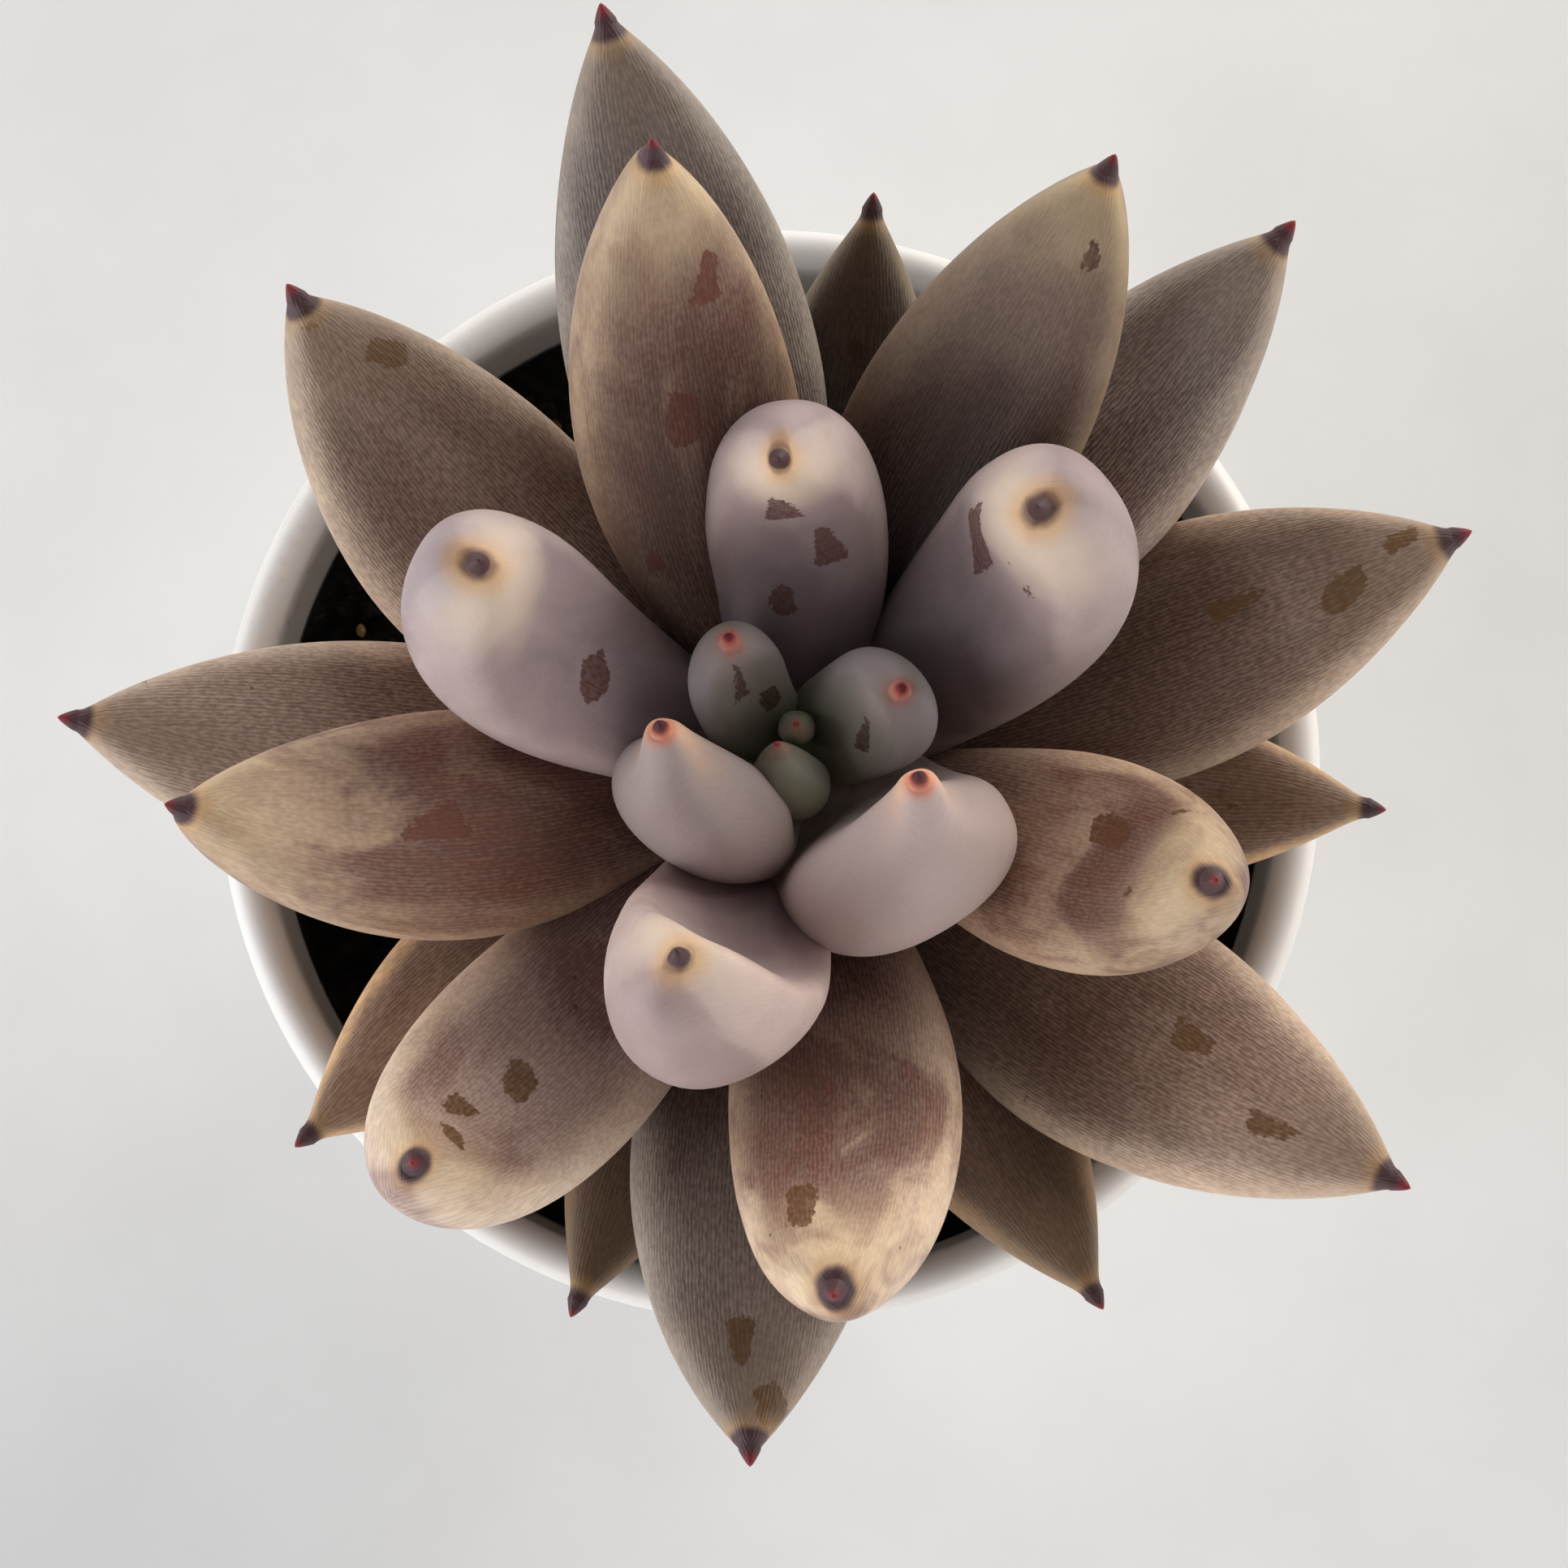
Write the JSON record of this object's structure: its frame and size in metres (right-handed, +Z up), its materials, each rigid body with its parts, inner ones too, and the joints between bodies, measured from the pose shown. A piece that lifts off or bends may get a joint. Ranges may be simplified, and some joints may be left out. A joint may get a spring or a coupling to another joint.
{
  "type": "potted echeveria",
  "caption": "Rosette of thick, pointed succulent leaves with small dark claws on a short stem, in dark potting mix in a plain white round pot with a rolled rim.",
  "frame": {"origin": "centre of the pot's flat underside", "axes": "+Z up along the pot's axis; +X to the picture's right and +Y to the picture's top"},
  "size_m": [0.1052, 0.1023, 0.119],
  "materials": {
    "pot": "smooth satin moulded plastic, warm white",
    "soil": "damp crumbly potting mix, nearly black",
    "stem": "matt green-brown skin with leaf scars",
    "bud_leaf": "matt pale green under a thin wax bloom",
    "inner_leaf": "matt wax bloom, pale grey-pink, red claw",
    "middle_leaf": "matt wax bloom, pinkish cream, dark tip",
    "upper_leaf": "satin skin under wax bloom, mauve-brown, cream end",
    "long_leaf": "fine lengthwise grain, grey-brown, pale edge",
    "lower_leaf": "fine lengthwise grain, dark brown, golden edge"
  },
  "bodies": {
    "root": {"pot": "pot", "soil": "soil", "stem": "stem", "bud_leaf_1": "bud_leaf", "bud_leaf_2": "bud_leaf", "inner_leaf_1": "inner_leaf", "inner_leaf_2": "inner_leaf", "inner_leaf_3": "inner_leaf", "inner_leaf_4": "inner_leaf", "middle_leaf_1": "middle_leaf", "middle_leaf_2": "middle_leaf", "middle_leaf_3": "middle_leaf", "middle_leaf_4": "middle_leaf", "upper_leaf_1": "upper_leaf", "upper_leaf_2": "upper_leaf", "upper_leaf_3": "upper_leaf", "upper_leaf_4": "upper_leaf", "upper_leaf_5": "upper_leaf", "upper_leaf_6": "upper_leaf", "long_leaf_1": "long_leaf", "long_leaf_2": "long_leaf", "long_leaf_3": "long_leaf", "long_leaf_4": "long_leaf", "long_leaf_5": "long_leaf", "long_leaf_6": "long_leaf", "long_leaf_7": "long_leaf", "lower_leaf_1": "lower_leaf", "lower_leaf_2": "lower_leaf", "lower_leaf_3": "lower_leaf", "lower_leaf_4": "lower_leaf", "lower_leaf_5": "lower_leaf", "lower_leaf_6": "lower_leaf"}
  },
  "joints": []
}
